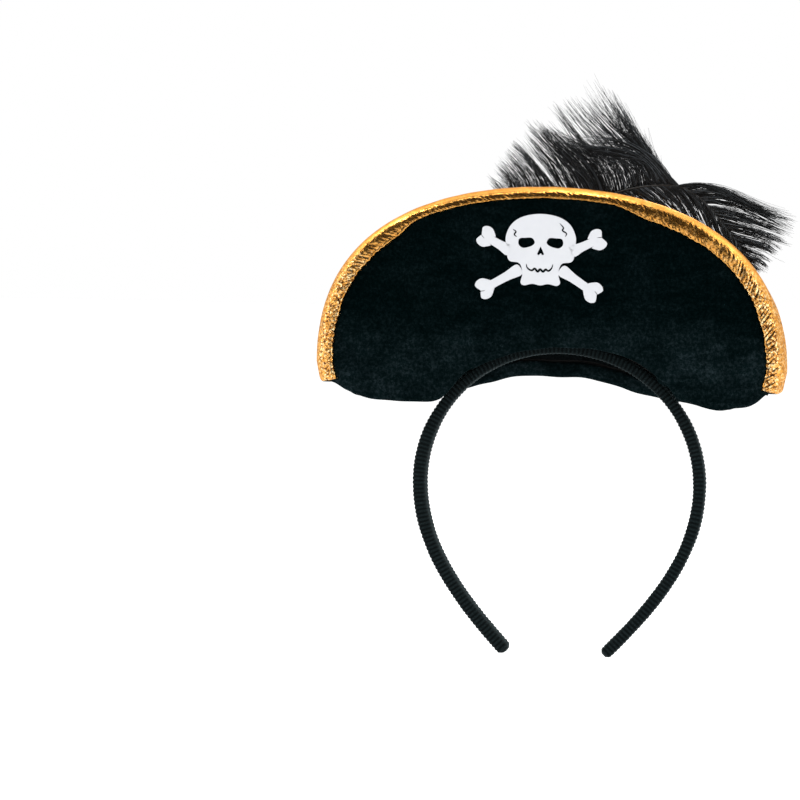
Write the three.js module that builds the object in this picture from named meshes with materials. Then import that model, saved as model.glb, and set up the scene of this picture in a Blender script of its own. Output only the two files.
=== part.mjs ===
// A costume pirate hat on a sprung head band: two stiffened velvet flaps bound in gold lame,
// a velvet base between them, a skull and crossed bones on the front, and one ostrich plume.
// Millimetres. +Z is up, the hat faces -Y, and +X is its left-hand side as worn, on the viewer's right.
// The origin is where the band rests on the head: the middle of the sleeve's inner face, at the crown.

import * as THREE from 'three';

// ---- Driving dimensions ----

// Gap kept between pieces that touch, and the wider one where a piece has to swing.
const fitGap = 0.3;
const swingGap = 1.3;

// Band: a moulded strip inside a knitted ribbed sleeve.
const coreWidth = 6.5;
const coreThickness = 2.4;
const sleeveWall = 1.0;
const bandHalfWidth = 60.3; // centreline, at its widest
const widestZ = -55.3;
const crownReach = 33.5; // how far the flat crown runs before it turns down
const shoulderReach = 32; // how far the upright side runs up before it turns in
const sideReach = 27; // how far the upright side runs down
const tipHalfSpan = 21;
const tipZ = -128.3;
const tipLean = new THREE.Vector2(23.5, 24); // the straight run of each arm above its tip
const tipCapLength = 3;
const flexAt = 57; // along the band from the crown to where each arm starts to flex
const glueStripStart = 9;
const glueStripLength = 30;
const glueThickness = 0.6;
const glueWidth = 5.6;

// Hat: the outer edge of the gold binding.
const hatHalfLength = 100.9;
const hatHeight = 76; // above the level where the hat is widest
const hatOffset = -5.2; // the hat is fixed this far off the band's middle
const hatLevel = -5.3; // the hat is widest this far below the crown
const crestReach = 40; // how far the crest runs level before it turns down
const endReach = 62; // how far each end runs upright
const endDrop = 9; // how far the binding goes on below the widest point
const endTuck = 1.8;
const endVelvetInset = 8; // the velvet's lower corner, in from the end
const endVelvetDrop = 9;
const lobeX = 72; // lowest point of each lobe
const lobeDrop = 16.6;
const leftLobeX = 66; // the front flap's left lobe is wider and shallower
const leftLobeDrop = 15.8;
const rearArch = [[0, -5], [14, -5.1], [28, -8.2], [42, -12]]; // the rear flap hangs below the band's crown
const rearLower = 4.5; // how much lower the rear crest is than the front one

// Flaps: lining, board and velvet, from the inside out.
const liningThickness = 0.6;
const boardThickness = 1.0;
const velvetThickness = 1.0;
const middleHalfGap = 10; // from the mid plane to a flap's inner face, at the middle
const endHalfGap = 2.6;
const flapLean = 0.08; // how fast the flaps spread with height
const archCrownLift = 0.4; // from the band's centreline to the front flap's lower edge, at the crown
// That edge follows the band as far as reach, and moves out to lift between from and to along it.
const archLeft = { side: -1, lift: 3.6, from: 18, to: 60, reach: 56 };
const archRight = { side: 1, lift: 4.4, from: 0, to: 38, reach: 55 };
const baseThickness = 1.2;
const baseRecess = 5; // how far the base sits above the bottom of the lobes
const baseEndInset = 3; // from the binding's inner edge to the end of the base
const endSeamLength = 5;
const endSeamHeight = 7;
const endSeamBelow = 2; // how much of it is below the hat's widest level
const endSeamInset = 7;

// Binding: a folded band of lame over each flap's edge.
const bindingWall = 1.2;
const bindingDepth = 8;

// Emblem: flat white pieces on the front flap.
const emblemX = -2.1; // from the hat's middle
const emblemZ = 45;
const emblemThickness = 0.8;
const emblemStandoff = 0.5;
const emblemGap = 0.7; // between the skull and the bones
const boneWidth = 3.7;
const knobRadius = 2.3;
const craniumHalfWidth = 15;
const craniumTop = 19.2;
const craniumBase = -1.6;
const jawHalfWidth = 9.2;
const jawBottom = -12.4;
const eyePlace = new THREE.Vector2(6.4, 6.2);
const eyeHalfWidth = 3.7;
const eyeHalfHeight = 2.5;
const eyeTilt = 0.35;
const noseTop = 4.4;
const noseBase = 0.9;
const noseNotch = 0.8; // how far the middle of its base is cut up
const noseHalfWidth = 2;
const upperBoneOuter = new THREE.Vector2(24.6, 9.8);
const upperBoneInner = new THREE.Vector2(16.4, 6.2);
const lowerBoneOuter = new THREE.Vector2(24.2, -14.4);
const lowerBoneInner = new THREE.Vector2(11.4, -7.2);

// Plume: one ostrich feather standing between the flaps. Its places are from the hat's middle and widest level.
const plumeY = 1.5;
const plumeThickness = 5;
const quillRadius = 1.1;
const quillGap = 0.7; // from the quill to the soft barbs on each side
const plumeRoot = new THREE.Vector2(-19.5, 22);
const upperVaneSpan = [0.28, 0.66]; // the part of the quill that each vane grows from
const tipVaneSpan = [0.7, 0.99];
const lowerVaneSpan = [0.4, 0.99];
const wrapLength = 9;
const wrapWall = 0.8;
const anchorWidth = 14;
const anchorHeight = 9;

// ---- Sizes that follow ----

const sleeveWidth = coreWidth + 2 * (fitGap + sleeveWall);
const sleeveThickness = coreThickness + 2 * (fitGap + sleeveWall);
const crownZ = sleeveThickness / 2;
const flapThickness = liningThickness + boardThickness + velvetThickness + 2 * fitGap;
const boardStart = liningThickness + fitGap;
const velvetStart = boardStart + boardThickness + fitGap;
const edgeHeight = bindingWall + fitGap; // from a flap's edge out to the binding's

// ---- Materials ----

const finish = (color, roughness, metalness = 0) =>
  () => new THREE.MeshStandardMaterial({ color, roughness, metalness });
const velvet = finish(0x0b1314, 0.95);
const liningCloth = finish(0x101112, 0.9);
const board = finish(0x8f8878, 0.85);
const ribbedSleeve = finish(0x0d1516, 0.85);
const mouldedPlastic = finish(0x15171a, 0.5);
const glue = finish(0xd9cfae, 0.4);
const goldLame = finish(0xd98a22, 0.35, 0.8);
const emblemWhite = finish(0xeceff2, 0.6);
const feather = finish(0x111112, 0.8);
const quillHorn = finish(0x1b1a19, 0.5);

const hat = new THREE.Group();

function add(name, geometry, material) {
  const mesh = new THREE.Mesh(geometry, material());
  mesh.name = name;
  hat.add(mesh);
  return mesh;
}

// ---- Curves in the upright XZ plane, written as (x, z) ----

const point = (x, z) => new THREE.Vector2(x, z);

// Joins the curves of a right-hand half into one path, measured from the middle outwards.
function halfPath(...curves) {
  const path = new THREE.CurvePath();
  curves.forEach((curve) => path.add(curve));
  return path;
}

// The place at a fraction from -1, the left end, to 1, the right end, of a mirrored half path.
function mirrored(path, fraction) {
  const place = path.getPoint(Math.abs(fraction));
  return point(Math.sign(fraction || 1) * place.x, place.y);
}

// The place and the outward normal on a mirrored half path, a signed length from its middle.
function station(path, length) {
  const fraction = THREE.MathUtils.clamp(length / path.getLength(), -1, 1);
  const place = mirrored(path, fraction);
  const step = 0.002;
  const before = mirrored(path, Math.max(fraction - step, -1));
  const after = mirrored(path, Math.min(fraction + step, 1));
  const along = after.sub(before).normalize();
  return { place, normal: point(-along.y, along.x) };
}

const bandHalf = halfPath(
  new THREE.CubicBezierCurve(
    point(0, crownZ),
    point(crownReach, crownZ),
    point(bandHalfWidth, widestZ + shoulderReach),
    point(bandHalfWidth, widestZ),
  ),
  new THREE.CubicBezierCurve(
    point(bandHalfWidth, widestZ),
    point(bandHalfWidth, widestZ - sideReach),
    point(tipHalfSpan + tipLean.x, tipZ + tipLean.y),
    point(tipHalfSpan, tipZ),
  ),
);
const bandHalfLength = bandHalf.getLength();

// The flaps' crest is the edge of the cloth, inside the binding. The rear crest is lower.
function crestHalf(lower) {
  const end = hatHalfLength - edgeHeight;
  const top = hatLevel + hatHeight - edgeHeight - lower;
  return halfPath(
    new THREE.CubicBezierCurve(
      point(0, top),
      point(crestReach, top),
      point(end, hatLevel + endReach - lower),
      point(end, hatLevel),
    ),
    new THREE.LineCurve(point(end, hatLevel), point(end - endTuck, hatLevel - endDrop)),
  );
}

const edgeEnd = point(hatHalfLength - endVelvetInset, hatLevel - endVelvetDrop);

// Points along one side of the band, lifted off its centreline, from the crown outwards.
function overBand(side, reach, liftAt, count = 8) {
  return Array.from({ length: count + 1 }, (_, i) => {
    const { place, normal } = station(bandHalf, (side * i * reach) / count);
    return place.addScaledVector(normal, liftAt((i * reach) / count));
  });
}

// One side of the front flap's arch, placed from the hat's middle.
function archSide({ side, lift, from, to, reach }) {
  const liftAt = (s) => THREE.MathUtils.lerp(archCrownLift, lift, THREE.MathUtils.smoothstep(s, from, to));
  return overBand(side, reach, liftAt).map((place) => place.setX(place.x - hatOffset));
}

// The lower edges go from -1 at the hat's left end to 1 at its right end.
const frontCurve = new THREE.SplineCurve([
  point(-edgeEnd.x, edgeEnd.y),
  point(-leftLobeX, hatLevel - leftLobeDrop),
  ...archSide(archLeft).reverse(),
  ...archSide(archRight).slice(1),
  point(lobeX, hatLevel - lobeDrop),
  edgeEnd,
]);
const rearCurve = new THREE.SplineCurve([
  ...rearArch.map(([x, z]) => point(x, hatLevel + z)),
  point(lobeX, hatLevel - lobeDrop),
  edgeEnd,
]);
const frontEdge = (u) => frontCurve.getPointAt((u + 1) / 2);
const rearEdge = (u) => mirrored({ getPoint: (t) => rearCurve.getPointAt(t) }, u);

// From the hat's mid plane to the inner face of either flap.
function halfGap(x, z) {
  const across = (x - hatOffset) / hatHalfLength;
  return endHalfGap + (middleHalfGap - endHalfGap) * (1 - across * across) + flapLean * (z - hatLevel + lobeDrop);
}

// ---- Shaping a straight solid into its place ----

function bend(geometry, place) {
  const positions = geometry.attributes.position;
  const corner = new THREE.Vector3();
  for (let i = 0; i < positions.count; i += 1) {
    corner.fromBufferAttribute(positions, i);
    const [x, y, z] = place(corner);
    positions.setXYZ(i, x, y, z);
  }
  geometry.computeVertexNormals();
  return geometry;
}

function roundedRectangle(width, height, radius) {
  const shape = new THREE.Shape();
  const w = width / 2 - radius;
  const h = height / 2 - radius;
  shape.absarc(w, -h, radius, -Math.PI / 2, 0);
  shape.absarc(w, h, radius, 0, Math.PI / 2);
  shape.absarc(-w, h, radius, Math.PI / 2, Math.PI);
  shape.absarc(-w, -h, radius, Math.PI, 1.5 * Math.PI);
  shape.closePath();
  return shape;
}

function rectangle(width, height) {
  const w = width / 2;
  const h = height / 2;
  return new THREE.Shape([point(-w, -h), point(w, -h), point(w, h), point(-w, h)]);
}

function extrude(shape, depth, steps = 1, curveSegments = 1) {
  return new THREE.ExtrudeGeometry(shape, { depth, steps, curveSegments, bevelEnabled: false });
}

// Lays an extrusion along the band: its x runs fore and aft, its y outwards, its z along.
function alongBand(shape, start, length, steps, lift = 0) {
  return bend(extrude(shape, length, steps), (corner) => {
    const { place, normal } = station(bandHalf, start + corner.z);
    place.addScaledVector(normal, corner.y + lift);
    return [place.x, corner.x, place.y];
  });
}

// ---- Head band ----

const coreSection = () => roundedRectangle(coreWidth, coreThickness, coreThickness * 0.3);

function sleeveSection() {
  const section = roundedRectangle(sleeveWidth, sleeveThickness, sleeveWall + fitGap);
  section.holes.push(rectangle(coreWidth + 2 * fitGap, coreThickness + 2 * fitGap));
  return section;
}

function capSection() {
  return roundedRectangle(sleeveWidth, sleeveThickness, sleeveWall + fitGap);
}

function addBand() {
  const crownSteps = 19;
  const armSteps = 15;
  const armStart = flexAt + swingGap / 2;
  const armLength = bandHalfLength - tipCapLength - fitGap - armStart;
  const crownStart = -flexAt + swingGap / 2;
  const crownLength = 2 * flexAt - swingGap;
  const glueLift = sleeveThickness / 2 + fitGap + glueThickness / 2;
  add('band_core_top', alongBand(coreSection(), crownStart, crownLength, crownSteps), mouldedPlastic);
  add('sleeve_top', alongBand(sleeveSection(), crownStart, crownLength, crownSteps), ribbedSleeve);
  [['left', -1], ['right', 1]].forEach(([name, side]) => {
    const armFrom = side > 0 ? armStart : -armStart - armLength;
    const capFrom = side > 0 ? bandHalfLength - tipCapLength : -bandHalfLength;
    const glueFrom = side > 0 ? glueStripStart : -glueStripStart - glueStripLength;
    add(`band_core_${name}`, alongBand(coreSection(), armFrom, armLength, armSteps), mouldedPlastic);
    add(`sleeve_${name}`, alongBand(sleeveSection(), armFrom, armLength, armSteps), ribbedSleeve);
    add(`tip_cap_${name}`, alongBand(capSection(), capFrom, tipCapLength, 2), ribbedSleeve);
    const strip = alongBand(rectangle(glueWidth, glueThickness), glueFrom, glueStripLength, 6, glueLift);
    add(`glue_strip_${name}`, strip, glue);
  });
}

// ---- Flaps, base and end seams ----

// One layer of a flap. facing is -1 for the front flap and 1 for the rear one.
function flapLayer(facing, crest, edge, start, thickness) {
  const alongCount = 30;
  const upCount = 6;
  const slab = new THREE.BoxGeometry(2, 1, 1, alongCount, upCount, 1);
  return bend(slab, (corner) => {
    const top = mirrored(crest, corner.x);
    const { x, y: z } = edge(corner.x).lerp(top, corner.y + 0.5);
    const outward = start + thickness * (0.5 - facing * corner.z);
    return [x + hatOffset, facing * (halfGap(x + hatOffset, z) + outward), z];
  });
}

function bindingSection() {
  const inner = flapThickness / 2 + fitGap;
  const outer = inner + bindingWall;
  const bottom = edgeHeight - bindingDepth;
  const section = new THREE.Shape();
  section.moveTo(outer, bottom);
  section.lineTo(outer, 0);
  section.absellipse(0, 0, outer, edgeHeight, 0, Math.PI);
  section.lineTo(-outer, bottom);
  section.lineTo(-inner, bottom);
  section.lineTo(-inner, fitGap);
  section.lineTo(inner, fitGap);
  section.lineTo(inner, bottom);
  section.closePath();
  return section;
}

// The folded lame, over a flap's edge from end to end.
function binding(facing, crest) {
  const half = crest.getLength();
  return bend(extrude(bindingSection(), 2 * half, 44, 3), (corner) => {
    const { place, normal } = station(crest, corner.z - half);
    place.addScaledVector(normal, corner.y);
    const x = place.x + hatOffset;
    return [x, facing * (halfGap(x, place.y) + flapThickness / 2) + corner.x, place.y];
  });
}

function addFlap(name, facing, crest, edge) {
  add(`${name}_velvet`, flapLayer(facing, crest, edge, velvetStart, velvetThickness), velvet);
  add(`${name}_board`, flapLayer(facing, crest, edge, boardStart, boardThickness), board);
  add(`${name}_lining`, flapLayer(facing, crest, edge, 0, liningThickness), liningCloth);
  add(`${name}_binding`, binding(facing, crest), goldLame);
}

// The base lies on the glued crown of the band and spans both lobes between the flaps.
function addBase() {
  const lift = sleeveThickness / 2 + 2 * fitGap + glueThickness;
  const edge = new THREE.SplineCurve([
    ...overBand(1, flexAt - 9, () => lift),
    point(lobeX, hatLevel + baseRecess - lobeDrop),
    point(hatHalfLength - bindingDepth - baseEndInset, hatLevel + baseRecess - endVelvetDrop),
  ]);
  const slab = new THREE.BoxGeometry(2, 2, 1, 40, 2, 1);
  add('base_velvet', bend(slab, (corner) => {
    const place = mirrored({ getPoint: (t) => edge.getPointAt(t) }, corner.x);
    const outerPart = THREE.MathUtils.smoothstep(Math.abs(place.x), glueStripStart + glueStripLength, lobeX);
    const x = place.x + hatOffset * outerPart;
    const z = place.y + baseThickness * (corner.z + 0.5);
    return [x, corner.y * (halfGap(x, z) - fitGap), z];
  }), velvet);
}

function addEndSeams() {
  [['left', -1], ['right', 1]].forEach(([name, side]) => {
    const middle = side * (hatHalfLength - endSeamInset) + hatOffset;
    const slab = new THREE.BoxGeometry(endSeamLength, 2, endSeamHeight, 1, 2, 2);
    add(`end_seam_${name}`, bend(slab, (corner) => {
      const x = middle + corner.x;
      const z = hatLevel + corner.z + endSeamHeight / 2 - endSeamBelow;
      return [x, corner.y * (halfGap(x, z) - bindingWall - 2 * fitGap), z];
    }), liningCloth);
  });
}

// ---- Emblem ----

// Lays a flat emblem piece on the front velvet, standing a little off it.
function onFront(shape, curveSegments) {
  return bend(extrude(shape, emblemThickness, 1, curveSegments), (corner) => {
    const x = corner.x + hatOffset + emblemX;
    const z = hatLevel + corner.y + emblemZ;
    return [x, -(halfGap(x, z) + flapThickness + emblemStandoff + corner.z), z];
  });
}

function skullShape() {
  const shape = new THREE.Shape();
  const cheek = craniumHalfWidth * 0.86;
  shape.moveTo(0, jawBottom);
  shape.lineTo(jawHalfWidth * 0.9, jawBottom + 0.4);
  shape.quadraticCurveTo(jawHalfWidth * 1.02, jawBottom / 2, jawHalfWidth * 0.82, craniumBase - 1);
  shape.quadraticCurveTo(cheek, craniumBase - 1.4, cheek + 0.4, craniumBase + 3.4);
  shape.bezierCurveTo(
    craniumHalfWidth + 2.4, craniumTop * 0.55, craniumHalfWidth * 0.9, craniumTop, 0, craniumTop,
  );
  shape.bezierCurveTo(
    -craniumHalfWidth * 0.9, craniumTop, -craniumHalfWidth - 2.4, craniumTop * 0.55,
    -cheek - 0.4, craniumBase + 3.4,
  );
  shape.quadraticCurveTo(-cheek, craniumBase - 1.4, -jawHalfWidth * 0.82, craniumBase - 1);
  shape.quadraticCurveTo(-jawHalfWidth * 1.02, jawBottom / 2, -jawHalfWidth * 0.9, jawBottom + 0.4);
  shape.closePath();
  [-1, 1].forEach((side) => {
    const socket = new THREE.Path();
    socket.absellipse(
      side * eyePlace.x, eyePlace.y, eyeHalfWidth, eyeHalfHeight, 0, 2 * Math.PI, true, side * eyeTilt,
    );
    shape.holes.push(socket);
  });
  shape.holes.push(new THREE.Path([
    point(0, noseTop),
    point(noseHalfWidth, noseBase),
    point(0, noseBase + noseNotch),
    point(-noseHalfWidth, noseBase),
  ]));
  return shape;
}

// A bone from its knobbed outer end to a square inner end.
function boneShape(outer, inner) {
  const along = inner.clone().sub(outer);
  const length = along.length();
  const half = boneWidth / 2;
  const spread = knobRadius * 0.85;
  const bone = new THREE.Shape();
  bone.moveTo(length, -half);
  bone.lineTo(length, half);
  bone.lineTo(knobRadius * 1.6, half);
  bone.absarc(0, spread, knobRadius, 0.25 * Math.PI, 1.2 * Math.PI);
  bone.absarc(0, -spread, knobRadius, -1.2 * Math.PI, -0.25 * Math.PI);
  bone.lineTo(knobRadius * 1.6, -half);
  bone.closePath();
  const turn = Math.atan2(along.y, along.x);
  const placed = bone.extractPoints(3).shape.map((corner) => corner.rotateAround(point(0, 0), turn).add(outer));
  return new THREE.Shape(placed);
}

function addEmblem() {
  add('skull', onFront(skullShape(), 6), emblemWhite);
  [['left', -1], ['right', 1]].forEach(([name, side]) => {
    const flip = (place) => point(side * place.x, place.y);
    add(`bone_upper_${name}`, onFront(boneShape(flip(upperBoneOuter), flip(upperBoneInner)), 3), emblemWhite);
    add(`bone_lower_${name}`, onFront(boneShape(flip(lowerBoneOuter), flip(lowerBoneInner)), 3), emblemWhite);
  });
}

// ---- Plume ----

// The quill rises from its root between the flaps, runs along the crest and droops to the right.
const quillRoute = [
  plumeRoot,
  point(-7.5, 45),
  point(8.5, 64),
  point(28.5, 75),
  point(50.5, 78),
  point(61.5, 73.5),
  point(70.5, 64.5),
  point(78.5, 54.5),
  point(84.5, 45),
];

// Points beside the quill, over a span of its length.
function quillPart([from, to], lift) {
  const curve = new THREE.SplineCurve(quillRoute);
  return Array.from({ length: 9 }, (_, i) => {
    const at = from + ((to - from) * i) / 8;
    const along = curve.getTangentAt(at);
    return curve.getPointAt(at).addScaledVector(point(-along.y, along.x), lift);
  });
}

function vane(points) {
  const geometry = extrude(new THREE.Shape(points), plumeThickness);
  return bend(geometry, (corner) => [
    corner.x + hatOffset,
    plumeY + plumeThickness / 2 - corner.z,
    corner.y + hatLevel,
  ]);
}

function addPlume() {
  const route = quillRoute.map((place) => new THREE.Vector3(place.x + hatOffset, plumeY, place.y + hatLevel));
  const quillSection = new THREE.Shape();
  quillSection.absarc(0, 0, quillRadius, 0, 2 * Math.PI);
  const quill = new THREE.ExtrudeGeometry(quillSection, {
    extrudePath: new THREE.CatmullRomCurve3(route),
    steps: 30,
    curveSegments: 4,
    bevelEnabled: false,
  });
  add('plume_quill', quill, quillHorn);

  const off = quillRadius + quillGap;
  const upperTips = [
    point(38.5, 98), point(27.5, 117), point(12.5, 118), point(-0.5, 114), point(-11.5, 103), point(-24.5, 79),
  ];
  const tipTips = [point(76.5, 75.5), point(90.5, 71), point(101.5, 66), point(103.5, 58), point(100.5, 47)];
  const lowerTips = [point(72.5, 42), point(50.5, 55), point(28.5, 60)];
  add('plume_upper_vane', vane([...quillPart(upperVaneSpan, off), ...upperTips]), feather);
  add('plume_tip_vane', vane([...tipTips, ...quillPart(tipVaneSpan, off).reverse()]), feather);
  add('plume_lower_vane', vane([...quillPart(lowerVaneSpan, -off), ...lowerTips]), feather);

  const inner = quillRadius + fitGap;
  const outer = inner + wrapWall;
  const profile = [point(inner, 0), point(outer, 0), point(outer, wrapLength), point(inner, wrapLength), point(inner, 0)];
  const wrap = new THREE.LatheGeometry(profile, 12);
  wrap.rotateX(Math.PI / 2);
  const rise = quillRoute[1].clone().sub(plumeRoot);
  const wrapMesh = add('plume_wrap', wrap, quillHorn);
  wrapMesh.rotation.y = Math.atan2(rise.x, rise.y);
  wrapMesh.position.set(plumeRoot.x + hatOffset, plumeY, plumeRoot.y + hatLevel);

  const slab = new THREE.BoxGeometry(anchorWidth, 1, anchorHeight, 2, 1, 2);
  add('plume_anchor', bend(slab, (corner) => {
    const x = plumeRoot.x + hatOffset + corner.x;
    const z = plumeRoot.y + hatLevel - swingGap - anchorHeight / 2 + corner.z;
    const front = -(halfGap(x, z) - fitGap);
    const back = plumeY + outer;
    return [x, THREE.MathUtils.lerp(front, back, corner.y + 0.5), z];
  }), glue);
}

addBand();
addFlap('front', -1, crestHalf(0), frontEdge);
addFlap('rear', 1, crestHalf(rearLower), rearEdge);
addBase();
addEndSeams();
addEmblem();
addPlume();

export default hat;
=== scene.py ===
import math

import bpy
import numpy as np
from mathutils import Matrix, Vector
from mathutils.geometry import delaunay_2d_cdt


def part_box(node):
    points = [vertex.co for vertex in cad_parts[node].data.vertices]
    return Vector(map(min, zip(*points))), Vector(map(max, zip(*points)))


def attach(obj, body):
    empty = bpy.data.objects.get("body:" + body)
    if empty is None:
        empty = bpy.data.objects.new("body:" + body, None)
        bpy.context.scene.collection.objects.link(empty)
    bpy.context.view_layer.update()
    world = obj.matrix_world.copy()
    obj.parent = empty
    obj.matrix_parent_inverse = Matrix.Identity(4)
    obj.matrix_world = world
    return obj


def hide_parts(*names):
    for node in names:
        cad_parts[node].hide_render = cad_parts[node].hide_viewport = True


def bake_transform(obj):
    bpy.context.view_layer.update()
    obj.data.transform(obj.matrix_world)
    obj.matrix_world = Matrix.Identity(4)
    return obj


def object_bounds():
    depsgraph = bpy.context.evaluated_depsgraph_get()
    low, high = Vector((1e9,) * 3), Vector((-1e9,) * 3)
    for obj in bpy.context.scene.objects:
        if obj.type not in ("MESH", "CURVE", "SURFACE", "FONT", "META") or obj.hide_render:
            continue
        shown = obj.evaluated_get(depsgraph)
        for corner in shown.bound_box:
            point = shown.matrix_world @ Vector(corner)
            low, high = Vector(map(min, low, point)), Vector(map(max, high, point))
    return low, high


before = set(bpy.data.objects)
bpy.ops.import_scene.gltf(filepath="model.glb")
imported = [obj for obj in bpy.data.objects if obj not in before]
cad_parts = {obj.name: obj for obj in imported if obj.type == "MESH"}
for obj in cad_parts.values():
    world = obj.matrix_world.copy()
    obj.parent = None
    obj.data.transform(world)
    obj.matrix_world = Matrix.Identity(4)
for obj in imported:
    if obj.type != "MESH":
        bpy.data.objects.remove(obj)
cad_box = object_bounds()

# ---- Studio ----
# A pale floor, small lamps from both sides and above, a rim light that catches the velvet's pile, and a dark card
# and a lit strip for the foil to reflect. A head holds the hat and it has no foot, so it hangs clear of the floor.

MM = 0.001
scene = bpy.context.scene
scene.view_settings.view_transform = "Standard"

view_azimuth = math.radians(11.0)
view_elevation = math.radians(2.5)
view_roll = math.radians(1.2)
view_distance = 1.3
view_lens = 136.8
aim_left = 68.7 * MM
aim_down = 21.1 * MM
floor_gap = 6.0
studio_reach = 50


class Wire:
    """A shader socket that can be used in sums, so a pattern reads as an expression."""

    def __init__(self, finish, socket):
        self.finish = finish
        self.socket = socket

    def math(self, operation, *others):
        inputs = dict(enumerate((self, *others)))
        return self.finish.node("Math", {"operation": operation}, inputs)

    def __add__(self, other):
        return self.math("ADD", other)

    def __sub__(self, other):
        return self.math("SUBTRACT", other)

    def __mul__(self, other):
        return self.math("MULTIPLY", other)

    def __rsub__(self, other):
        return self.finish.node("Math", {"operation": "SUBTRACT"}, {0: other, 1: self})

    __radd__ = __add__
    __rmul__ = __mul__

    def between(self, low, high):
        """0 below low, 1 above high, and a smooth step from one to the other."""
        return self.finish.node(
            "MapRange", {"interpolation_type": "SMOOTHSTEP"}, {"Value": self, "From Min": low, "From Max": high}
        )


class Finish:
    """A material for one of the hat's surfaces, around a single Principled shader."""

    def __init__(self, name, **constants):
        self.material = bpy.data.materials.new(name)
        self.material.use_nodes = True
        self.tree = self.material.node_tree
        self.shader = self.tree.nodes["Principled BSDF"]
        for socket, value in constants.items():
            self.shader.inputs[socket.replace("_", " ")].default_value = value

    def node(self, kind, settings=None, inputs=None, output=0):
        made = self.tree.nodes.new("ShaderNode" + kind)
        for key, value in (settings or {}).items():
            setattr(made, key, value)
        for key, value in (inputs or {}).items():
            self.link(made.inputs[key], value)
        return Wire(self, made.outputs[output])

    def link(self, socket, value):
        if isinstance(value, Wire):
            self.tree.links.new(value.socket, socket)
        elif hasattr(value, "__len__") and len(value) == 3 and socket.type == "RGBA":
            socket.default_value = (*value, 1)
        else:
            socket.default_value = value

    def drive(self, socket, value):
        self.link(self.shader.inputs[socket], value)

    def place(self, stretch=(1, 1, 1)):
        """Object coordinates in millimetres, stretched."""
        spot = self.node("TexCoord", output=3)
        return self.node("VectorMath", {"operation": "MULTIPLY"}, {0: spot, 1: tuple(s / MM for s in stretch)})

    def noise(self, scale, detail=3.0, stretch=(1, 1, 1), roughness=0.55):
        """Noise with scale features to the millimetre."""
        inputs = {"Vector": self.place(stretch), "Scale": scale, "Detail": detail, "Roughness": roughness}
        return self.node("TexNoise", {}, inputs)

    def marked(self, name):
        """A value stored on the mesh."""
        return self.node("Attribute", {"attribute_name": name}, output=2)

    def mix(self, factor, first, second):
        return self.node("Mix", {"data_type": "RGBA"}, {0: factor, 6: first, 7: second}, output=2)

    def tint(self, factor, first, second):
        """Colours the surface between two tones."""
        self.drive("Base Color", self.mix(factor, first, second))

    def bump(self, height, depth):
        """A bump depth millimetres deep where height runs from 0 to 1."""
        self.drive("Normal", self.node("Bump", {}, {"Height": height, "Distance": depth * MM}))


def turned(azimuth, elevation):
    """The direction from the hat to a place round it."""
    flat = math.cos(elevation)
    return np.array([math.sin(azimuth) * flat, -math.cos(azimuth) * flat, math.sin(elevation)])


def look_at(thing, position, target, roll=0.0):
    """Stands a lamp or camera at position, facing target."""
    back = (Vector(position) - Vector(target)).normalized()
    turn = back.to_track_quat("Z", "Y").to_matrix().to_4x4()
    thing.matrix_world = Matrix.Translation(position) @ turn @ Matrix.Rotation(roll, 4, "Z")


def lamp(name, azimuth, elevation, distance, size, power):
    light = bpy.data.lights.new(name, "AREA")
    light.shape = "DISK"
    light.size = size
    light.energy = power
    thing = bpy.data.objects.new(name, light)
    scene.collection.objects.link(thing)
    middle = np.array([0, 0, 0.01])
    look_at(thing, middle + distance * turned(math.radians(azimuth), math.radians(elevation)), middle)


def new_mesh(name, points, faces, smooth=True):
    """An object from points in millimetres."""
    mesh = bpy.data.meshes.new(name)
    mesh.from_pydata((np.asarray(points, float) * MM).tolist(), [], faces)
    mesh.polygons.foreach_set("use_smooth", [smooth] * len(mesh.polygons))
    mesh.update()
    thing = bpy.data.objects.new(name, mesh)
    scene.collection.objects.link(thing)
    return thing


def mark(thing, name, values):
    """Stores a value per point, for a material to read."""
    stored = thing.data.attributes.new(name, "FLOAT", "POINT").data
    stored.foreach_set("value", np.asarray(values, np.float32).ravel())


def grid_faces(rows, columns, wrap_rows=False, wrap_columns=False):
    """Quads over a grid of points listed row by row."""
    faces = []
    for i in range(rows if wrap_rows else rows - 1):
        for j in range(columns if wrap_columns else columns - 1):
            a, b = i % rows, (i + 1) % rows
            c, d = j % columns, (j + 1) % columns
            faces.append([a * columns + c, a * columns + d, b * columns + d, b * columns + c])
    return faces


camera = bpy.data.objects.new("camera", bpy.data.cameras.new("camera"))
scene.collection.objects.link(camera)
scene.camera = camera
camera.data.lens = view_lens
camera.data.sensor_width = 36
camera.data.clip_end = studio_reach
toward = turned(view_azimuth, view_elevation)
across = np.array([math.cos(view_azimuth), math.sin(view_azimuth), 0])
aim = -aim_left * across + np.array([0, 0, -aim_down])
look_at(camera, aim + view_distance * toward, aim, view_roll)

world = bpy.data.worlds.new("studio")
scene.world = world
world.use_nodes = True
room = world.node_tree.nodes["Background"]
room.inputs["Color"].default_value = (1, 1, 1, 1)
room.inputs["Strength"].default_value = 1.0

lamp("key", -72, 42, 1.1, 0.14, 3)
lamp("fill", 74, 43, 1.1, 0.14, 3)
lamp("top", 6, 76, 1.1, 0.14, 2.4)
lamp("rim", 160, 50, 1.2, 0.5, 6)

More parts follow.
